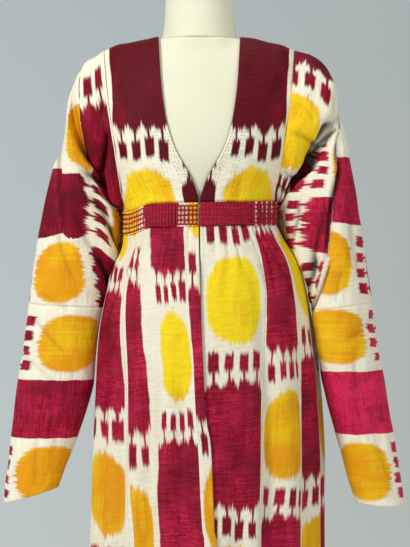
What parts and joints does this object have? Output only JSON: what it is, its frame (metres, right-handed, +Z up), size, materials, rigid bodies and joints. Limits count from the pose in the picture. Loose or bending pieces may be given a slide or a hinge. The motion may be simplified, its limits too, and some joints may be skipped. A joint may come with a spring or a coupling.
{
  "type": "ikat robe on a dress form",
  "caption": "High waisted woman's robe in warp-dyed silk with a smocked heading and long straight sleeves, open at the front, worn on a limbless dress form with a round foot.",
  "frame": {"origin": "centre of the stand's underside, on the floor", "axes": "+Z up, the robe's front faces -Y, the wearer's left is +X"},
  "size_m": [0.655, 0.3558, 1.546],
  "materials": {
    "ikat_cloth": "glossy silk and cotton cloth, warp dyed in maroon, yellow and cream",
    "smocked_cloth": "the same cloth drawn up in fine gathers under rows of maroon thread",
    "form_cover": "cream cotton stretched smooth over the form",
    "turned_wood": "satin varnished turned wood",
    "pole_steel": "brushed steel tube",
    "painted_iron": "black painted iron"
  },
  "bodies": {
    "root": {"body_panel": "ikat_cloth", "side_panel_r": "ikat_cloth", "side_panel_l": "ikat_cloth", "sleeve_upper_r": "ikat_cloth", "sleeve_upper_l": "ikat_cloth", "sleeve_lower_r": "ikat_cloth", "sleeve_lower_l": "ikat_cloth", "heading_front_r": "smocked_cloth", "heading_front_l": "smocked_cloth", "heading_side_r": "smocked_cloth", "heading_side_l": "smocked_cloth", "heading_back": "smocked_cloth", "skirt_front_r": "ikat_cloth", "skirt_front_l": "ikat_cloth", "skirt_side_r": "ikat_cloth", "skirt_side_l": "ikat_cloth", "skirt_back": "ikat_cloth", "form_torso": "form_cover", "form_neck": "form_cover", "form_cap": "turned_wood", "form_pole": "pole_steel", "form_base": "painted_iron"}
  },
  "joints": []
}
